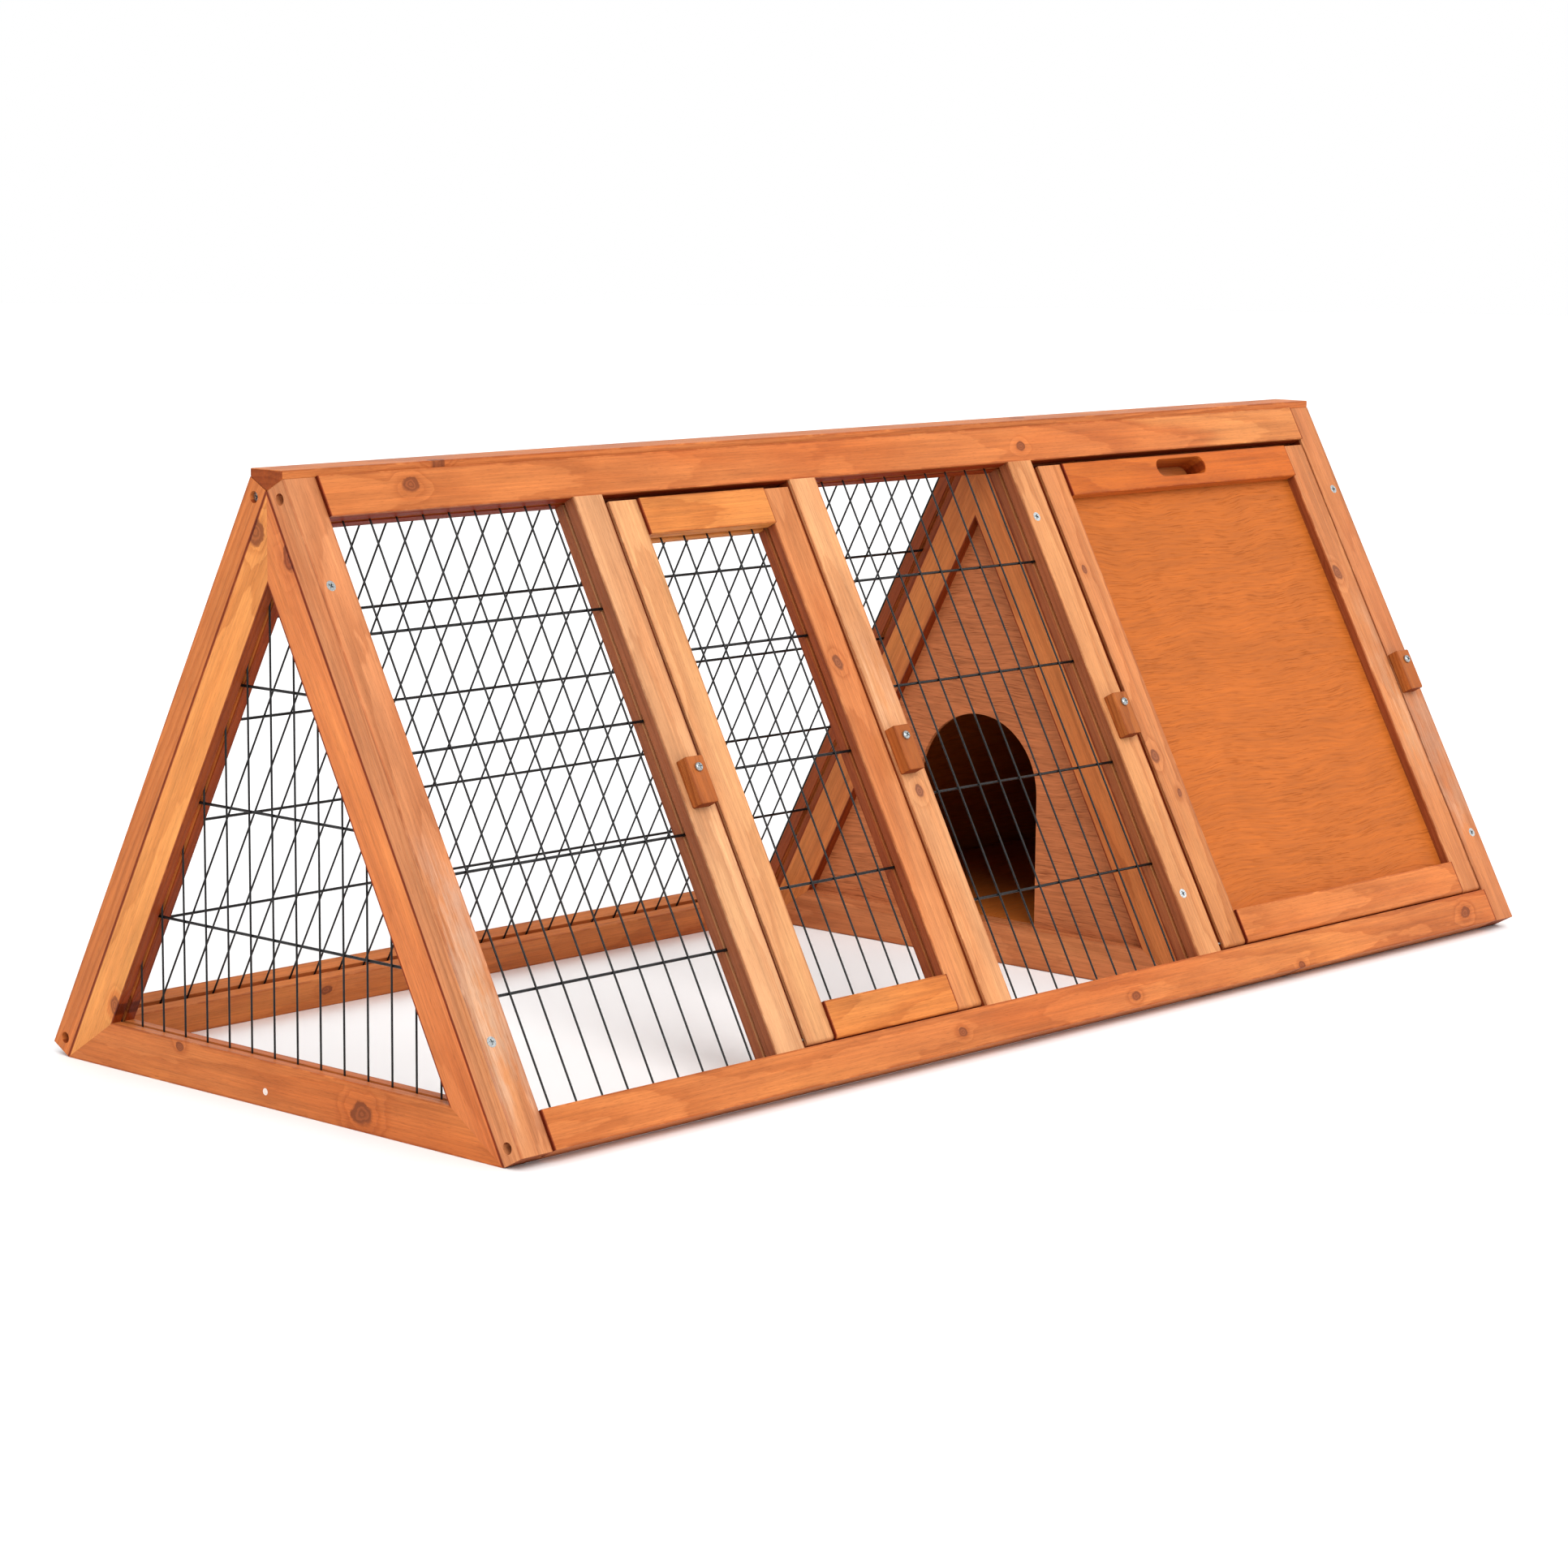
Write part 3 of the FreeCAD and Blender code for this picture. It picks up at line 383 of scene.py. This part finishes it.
    def worn_edges(self, colour):
        """Dark arrises, rubbed pale in places."""
        graph = self.graph
        rub = graph.noise(self.seeded, RUB_CYCLES, 3.0, 0.65)
        arris = graph.product(graph.step(self.from_edge, *ARRIS_BAND), graph.step(rub, 0.66, 0.46))
        colour = graph.stain(colour, graph.math("MULTIPLY", arris, 0.60), ARRIS)
        self.worn = graph.product(graph.step(self.from_edge, *WORN_BAND),
                                  graph.step(rub, 0.56, 0.70))
        return graph.stain(colour, graph.math("MULTIPLY", self.worn, 0.50), WORN)

    def add_painted_sheen(self, colour):
        """Painted sheen: pale highlight patches painted on the front face of the pieces that have
        them.
        """
        graph = self.graph
        for start, stop, strength in PAINTED_SHEEN_SPANS.get(self.name, ()):
            patch = graph.noise(self.seeded, PATCH_CYCLES, 4.0, 0.7)
            patch = graph.math("ADD", patch, graph.span(self.fibre, 0.2, 0.8, -0.10, 0.10))
            reach = graph.product(
                graph.step(self.along, start - PAINTED_SHEEN_FADE, start + PAINTED_SHEEN_FADE),
                graph.step(self.along, stop + PAINTED_SHEEN_FADE, stop - PAINTED_SHEEN_FADE),
                graph.step(patch, 0.38, 0.66),
                graph.step(self.out, self.half[2] - 0.0020, self.half[2] - 0.0006))
            colour = graph.stain(colour, graph.math("MULTIPLY", reach, strength), PAINTED_SHEEN_TINT)
        return colour

    def add_painted_shade(self, colour):
        """Painted shade on the inner sides, in the gaps round the doors, and where sticks meet."""
        graph, name, (_, wide, deep) = self.graph, self.name, self.half
        if name in GAP_SIDES:
            toward_gap = graph.math("MULTIPLY", self.across, float(GAP_SIDES[name]))
        # painted shade on the inner stiles' side faces
        if "stile" in name and name not in END_STILES:
            from_side = graph.math("ADD", wide, toward_gap) if name in GAP_SIDES else self.from_side
            inside = graph.product(graph.step(from_side, *SIDE_BAND),
                                   graph.step(self.out, deep - 0.0006, deep - 0.0018))
            colour = graph.stain(colour, inside, PAINTED_SIDE_SHADE)
        # painted shade on the side face toward a door's gap
        if name in GAP_SIDES:
            inside = graph.product(graph.step(toward_gap, wide - 0.0018, wide - 0.0004),
                                   graph.step(self.out, deep - 0.0012, deep - 0.0030))
            colour = graph.stain(colour, inside, PAINTED_GAP_SHADE)
        # painted shade where sticks meet: the legs' long sides, the end stiles' backs and the
        # rails' ends
        seam = None
        if name.endswith("_leg"):
            seam = self.from_side
        elif name in END_STILES:
            seam = graph.math("ADD", self.out, deep)
        elif name.endswith("_rail") and "end" not in name and "divider" not in name:
            seam = self.from_end
        if seam is not None:
            colour = graph.stain(colour, graph.step(seam, *SEAM_BAND), PAINTED_SEAM_SHADE)
        return colour

    def surface(self, colour):
        """End grain that drank more stain, and the gloss and relief."""
        graph = self.graph
        end = graph.step(self.end_face, 0.75, 0.92)
        colour = graph.stain(colour, graph.math("MULTIPLY", end, 0.80), END_GRAIN)
        roughness = graph.math("ADD", graph.span(self.fibre, 0.2, 0.8, 0.36, 0.54),
                               graph.span(self.blotch, 0.2, 0.8, -0.05, 0.07))
        dull = graph.math("MULTIPLY", graph.math("MAXIMUM", end, self.worn), 0.2)
        height = graph.math("ADD", graph.math("MULTIPLY", self.fibre, 0.55),
                            graph.math("MULTIPLY", self.pores, 0.35))
        height = graph.math("ADD", height, graph.math("MULTIPLY", self.late, 0.28))
        return graph.finish(colour, graph.math("ADD", roughness, dull), height, PINE_RELIEF)


# ---------------------------------------------------------------- plywood

VENEER_WANDER = (0.0, 0.035, 0.0)
FIGURE_BANDS = 13.0                # contour lines in the faint figure
PORE_STAIN = (0.45, 0.32, 0.25)
PLYWOOD_RELIEF = 0.00022


class Plywood(Timber):
    """A rotary-cut tropical veneer: short dark pores, broad faint bands and a blotchy stain."""

    def __init__(self, name, centre, along, face, tone, contrast):
        super().__init__("plywood", name, centre, along, face)
        graph = self.graph
        bend = graph.sway(self.seeded, (7.0, 9.0, 2.0), VENEER_WANDER)
        u, v, _ = graph.split(graph.vector("ADD", self.seeded, bend))
        flat = graph.join(u, v, self.shift[2])

        hills = graph.noise(flat, (2.4, 5.5, 1.0), 1.0)
        figure = graph.math("FRACT", graph.math("MULTIPLY", hills, FIGURE_BANDS))
        figure = graph.product(graph.step(figure, 0.0, 0.85), graph.step(figure, 1.0, 0.9))
        band = graph.noise(flat, (1.8, 34.0, 1.0))
        dashes = graph.noise(flat, (60.0, 1300.0, 1.0), 1.0)
        dense = graph.noise(flat, (12.0, 40.0, 1.0))
        pores = graph.product(graph.step(dashes, 0.54, 0.72),
                              graph.step(dense, 0.30, 0.66, 0.55, 1.0))
        fibre = graph.noise(flat, (26.0, 520.0, 1.0), 3.0, 0.6)
        blotch = graph.noise(flat, (6.0, 9.0, 1.0), 3.0, 0.6)

        shade = graph.product(
            graph.span(fibre, 0.25, 0.75, 1 - 0.15 * contrast, 1 + 0.13 * contrast),
            graph.span(blotch, 0.25, 0.75, 0.95, 1.05),
            graph.span(band, 0.25, 0.75, 0.96, 1.04),
            graph.span(figure, 0.0, 1.0, 1.015, 0.97))
        colour = graph.brighten(tone, shade)
        colour = graph.stain(colour, graph.math("MULTIPLY", pores, 0.36 * contrast), PORE_STAIN)
        roughness = graph.math("ADD", graph.span(fibre, 0.2, 0.8, 0.42, 0.58),
                               graph.math("MULTIPLY", pores, 0.15))
        height = graph.math("SUBTRACT", graph.math("MULTIPLY", fibre, 0.5),
                            graph.math("MULTIPLY", pores, 0.6))
        self.material = graph.finish(colour, roughness, height, PLYWOOD_RELIEF)


# ---------------------------------------------------------------- metal and filler

COATING_BLACKS = (0.003, 0.003, 0.0035), (0.009, 0.009, 0.010)
ZINC_GREYS = (0.30, 0.33, 0.35), (0.46, 0.47, 0.46)
FILLER_WHITES = (0.62, 0.50, 0.42), (0.86, 0.80, 0.76)


def object_graph(name):
    """A material's graph and its place, in metres from the origin."""
    graph = Graph(name)
    return graph, graph.add("ShaderNodeTexCoord").outputs["Object"]


def every_way(cycles):
    return (cycles, cycles, cycles)


def coated_wire():
    """Black plastic-dipped steel wire, slightly lumpy, with a satin sheen."""
    graph, place = object_graph("coated_wire")
    lumps = graph.noise(place, every_way(420.0))
    dust = graph.noise(place, every_way(60.0), 3.0)
    colour = graph.mix(graph.step(dust, 0.35, 0.75), *COATING_BLACKS)
    roughness = graph.span(lumps, 0.3, 0.7, 0.24, 0.42)
    return graph.finish(colour, roughness, lumps, 0.00030, specular=0.25)


def zinc_plate():
    """Bright zinc on steel: fine crystals and a patchy passivation film."""
    graph, place = object_graph("zinc_plate")
    film = graph.noise(place, every_way(900.0), 3.0)
    crystals = graph.noise(place, every_way(4200.0), 1.0)
    colour = graph.mix(graph.step(film, 0.35, 0.65), *ZINC_GREYS)
    roughness = graph.span(crystals, 0.3, 0.7, 0.22, 0.40)
    return graph.finish(colour, roughness, crystals, 0.00004, metallic=1.0, specular=0.5)


def filler():
    """Off-white filler, finely pitted and tinted with stain in flecks."""
    graph, place = object_graph("filler")
    pits = graph.noise(place, every_way(1400.0), 3.0)
    colour = graph.mix(graph.step(pits, 0.35, 0.65), *FILLER_WHITES)
    return graph.finish(colour, graph.span(pits, 0.3, 0.7, 0.60, 0.80), pits, 0.00010)


# ---------------------------------------------------------------- pieces

# The stain on clear earlywood.
STRAW = (0.604, 0.306, 0.145)
WHEAT = (0.574, 0.240, 0.098)
FLAX = (0.600, 0.262, 0.102)
CORN = (0.580, 0.235, 0.092)
HONEY = (0.548, 0.208, 0.075)
TAWNY = (0.508, 0.166, 0.060)
AMBER = (0.600, 0.214, 0.052)
APRICOT = (0.645, 0.217, 0.055)
ORANGE = (0.529, 0.165, 0.045)
RUSSET = (0.490, 0.117, 0.018)
CLAY = (0.585, 0.156, 0.043)
ROSE = (0.495, 0.175, 0.064)
BRICK = (0.545, 0.212, 0.086)
BUTTON = (0.390, 0.112, 0.026)
VENEER = (0.443, 0.113, 0.0170)
SHADED_VENEER = (0.464, 0.144, 0.051)
TONES = {
    "front_left_stile": BRICK,
    "front_right_stile": ROSE,
    "front_inner_stile_left": STRAW,
    "front_inner_stile_right": WHEAT,
    "front_divider_stile": FLAX,
    "run_door_left_stile": CORN,
    "run_door_right_stile": HONEY,
    "run_door_top_rail": AMBER,
    "run_door_bottom_rail": AMBER,
    "shelter_door_left_stile": HONEY,
    "shelter_door_right_stile": HONEY,
    "shelter_door_top_rail": RUSSET,
    "left_end_rear_leg": APRICOT,
    "left_end_front_leg": CLAY,
    "divider_rail": TAWNY,
}                                  # and ORANGE on the others

# The side, across the stick, that faces the gap round a door and is given painted shade.
GAP_SIDES = {
    "front_top_rail": -1,
    "front_inner_stile_left": -1,
    "front_inner_stile_right": 1,
    "front_divider_stile": -1,
    "front_right_stile": 1,
    "run_door_left_stile": 1,
    "run_door_right_stile": -1,
    "run_door_top_rail": 1,
    "run_door_bottom_rail": -1,
    "shelter_door_left_stile": 1,
    "shelter_door_right_stile": -1,
    "shelter_door_top_rail": 1,
    "shelter_door_bottom_rail": -1,
}
# Painted sheen, a pale highlight painted on a front face: from and to along the stick, from its
# middle, and strength.
PAINTED_SHEEN_SPANS = {
    "front_left_stile": [(-0.215, -0.030, 0.85)],
    "front_right_stile": [(-0.170, 0.000, 0.75)],
    "front_inner_stile_right": [(0.010, 0.080, 0.35)],
    "shelter_door_right_stile": [(-0.100, 0.060, 0.60)],
}
# Knots: distance from the stick's middle along and across it, and radius.
KNOTS = {
    "ridge_cap": [(-0.449, -0.0140, 0.0050), (0.210, 0.0040, 0.0055)],
    "front_top_rail": [(-0.482, 0.0036, 0.0055), (0.178, -0.0024, 0.0038)],
    "front_bottom_rail": [(-0.141, -0.0012, 0.0032), (0.063, -0.0050, 0.0036),
                          (0.277, -0.0120, 0.0030), (0.521, -0.0020, 0.0048)],
    "front_inner_stile_right": [(-0.044, 0.0003, 0.0040)],
    "run_door_right_stile": [(0.067, 0.0026, 0.0042)],
    "shelter_door_left_stile": [(0.118, 0.0055, 0.0026), (-0.045, 0.0080, 0.0045),
                                (-0.079, -0.0046, 0.0028)],
    "shelter_door_right_stile": [(0.089, 0.0074, 0.0048)],
    "left_end_rail": [(-0.092, -0.0042, 0.0078), (0.102, 0.0114, 0.0030)],
    "left_end_rear_leg": [(0.212, -0.0120, 0.0070), (-0.176, 0.0117, 0.0048)],
    "left_end_front_leg": [(0.193, 0.0135, 0.0060)],
    "right_end_rail": [(0.085, 0.0020, 0.0060)],
    "rear_top_rail": [(0.120, 0.0020, 0.0050), (-0.260, -0.0040, 0.0040)],
    "rear_bottom_rail": [(0.300, 0.0020, 0.0055), (-0.350, -0.0030, 0.0045)],
    "rear_divider_stile": [(-0.160, 0.0000, 0.0050)],
}
# Sapwood begins so far beyond the middle of the stick, away from the pith.
SAP = {
    "front_top_rail": 0.006,
    "front_inner_stile_right": 0.001,
    "run_door_left_stile": 0.002,
    "left_end_rear_leg": 0.001,
    "left_end_front_leg": 0.002,
}
SHARP = math.radians(35)
SOFT_EDGE = 0.0009                 # width of a planed stick's softened edge
SAME_POINT = 1e-6
BUTTON_RINGS = 1.5                 # how much stronger a button's rings are
BOARD_CONTRAST, SHADED_CONTRAST = 1.1, 2.0


def soften(node):
    """Join the node's faces and take off its sharp edges."""
    weld = node.modifiers.new("Join", "WELD")
    weld.merge_threshold = SAME_POINT
    bevel = node.modifiers.new("Soften", "BEVEL")
    bevel.width = SOFT_EDGE
    bevel.segments = 3
    bevel.limit_method = "ANGLE"
    bevel.angle_limit = SHARP
    bevel.harden_normals = False


def node_material(name, slot):
    """The piece's own wood, laid along the box that it fills on its grain's axes."""
    along, face = grain_axes(name)
    corners = [vertex.co for vertex in frame["nodes"][name].data.vertices]
    centre, half = Vector(), []
    for axis in (along, face.cross(along), face):
        reaches = [corner.dot(axis) for corner in corners]
        centre += axis * (min(reaches) + max(reaches)) / 2
        half.append((max(reaches) - min(reaches)) / 2)
    if slot == "button_wood":
        return Pine(name, centre, along, face, half, BUTTON, BUTTON_RINGS).material
    if slot == "pine":
        return Pine(name, centre, along, face, half, TONES.get(name, ORANGE)).material
    if name == "divider_board":
        return Plywood(name, centre, along, face, SHADED_VENEER, SHADED_CONTRAST).material
    return Plywood(name, centre, along, face, VENEER, BOARD_CONTRAST).material


METALS = {"wire": coated_wire(), "zinc_steel": zinc_plate(), "plug": filler()}
for item in frame["record"]["subparts"]:
    name, slot = item["node"], item["material_slot"]
    node = frame["nodes"][name]
    material = METALS.get(slot) or node_material(name, slot)
    node.data.materials.clear()
    node.data.materials.append(material)
    if slot == "pine":
        soften(node)

# ---------------------------------------------------------------- floor, light and camera

FLOOR_RADIUS = 14.0
FLOOR_DROP = 0.0002
FLOOR_GREYS = (0.90, 0.90, 0.90), (0.93, 0.93, 0.93)
KEY_POWER = 1.9
KEY_SPREAD = math.radians(35)
KEY_FROM = Vector((-0.40, -0.70, 0.75))
SHEEN_POWER = 10
SHEEN_WIDTH, SHEEN_HEIGHT = 0.9, 1.4
SHEEN_PLACE = Vector((2.5, -1.9, 1.6))
SHEEN_TARGET = Vector((0, -0.1, 0.2))
AZIMUTH = math.radians(-47.38)
ELEVATION = math.radians(9.01)
ROLL = math.radians(0.48)
CAMERA_PLACE = (-2.3350, -2.0825, 0.6580)
LENS = 91.77
SENSOR_WIDTH = 36.0
FAR = 60


def lay_floor():
    bpy.ops.mesh.primitive_circle_add(vertices=96, radius=FLOOR_RADIUS, fill_type="NGON",
                                      location=(0, 0, -FLOOR_DROP))
    disc = bpy.context.object
    disc.name = "floor"
    graph, place = object_graph("pale_floor")
    cloud = graph.noise(place, every_way(1.0), 3.0)
    disc.data.materials.append(graph.finish(graph.mix(cloud, *FLOOR_GREYS), 0.9, cloud, 0.0001))
    return disc


def put_in_scene(name, data):
    item = bpy.data.objects.new(name, data)
    bpy.context.scene.collection.objects.link(item)
    return item


def light_studio():
    """A white room, a broad key light and a weak softbox at the front."""
    world = bpy.data.worlds.new("studio")
    world.use_nodes = True
    background = world.node_tree.nodes["Background"]
    background.inputs["Color"].default_value = (1, 1, 1, 1)
    background.inputs["Strength"].default_value = 1.0
    bpy.context.scene.world = world

    sun = bpy.data.lights.new("key", "SUN")
    sun.energy = KEY_POWER
    sun.angle = KEY_SPREAD
    put_in_scene("key", sun).rotation_euler = KEY_FROM.to_track_quat("Z", "Y").to_euler()

    softbox = bpy.data.lights.new("sheen", "AREA")
    softbox.shape = "RECTANGLE"
    softbox.size, softbox.size_y = SHEEN_WIDTH, SHEEN_HEIGHT
    softbox.energy = SHEEN_POWER
    item = put_in_scene("sheen", softbox)
    item.location = SHEEN_PLACE
    item.rotation_euler = (SHEEN_TARGET - SHEEN_PLACE).to_track_quat("-Z", "Y").to_euler()


def stand_camera():
    """A long lens, turned by its azimuth, elevation and roll."""
    back = Vector((math.sin(AZIMUTH) * math.cos(ELEVATION),
                   -math.cos(AZIMUTH) * math.cos(ELEVATION), math.sin(ELEVATION)))
    right = ALONG_Z.cross(back).normalized()
    above = back.cross(right)
    turned_right = right * math.cos(ROLL) + above * math.sin(ROLL)
    turned_above = above * math.cos(ROLL) - right * math.sin(ROLL)
    lens = bpy.data.cameras.new("camera")
    lens.sensor_width = SENSOR_WIDTH
    lens.lens = LENS
    lens.clip_end = FAR
    camera = put_in_scene("camera", lens)
    turn = Matrix((turned_right, turned_above, back)).transposed().to_4x4()
    camera.matrix_world = Matrix.Translation(CAMERA_PLACE) @ turn
    bpy.context.scene.camera = camera


floor = lay_floor()
light_studio()
bpy.context.scene.view_settings.view_transform = "Standard"
stand_camera()
